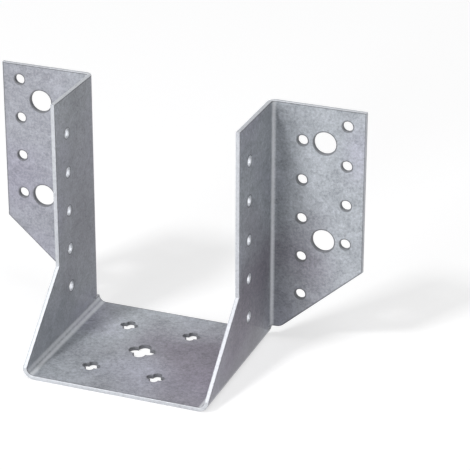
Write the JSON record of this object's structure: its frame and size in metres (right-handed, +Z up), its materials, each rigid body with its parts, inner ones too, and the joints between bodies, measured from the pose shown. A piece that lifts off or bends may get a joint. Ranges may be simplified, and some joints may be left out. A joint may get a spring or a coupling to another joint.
{
  "type": "joist hanger",
  "caption": "Folded sheet-steel U bracket that carries a joist on its seat and fixes to a header through two outward wings.",
  "frame": {"origin": "middle of the seat's underside", "axes": "+X across the joist, to the right from the joist's end; +Y towards the header; +Z up"},
  "size_m": [0.186, 0.084, 0.124],
  "materials": {
    "zinc_sheet": "hot-dip zinc, dull grey with a fine mottled spangle"
  },
  "bodies": {
    "root": {"hanger": "zinc_sheet"}
  },
  "joints": []
}
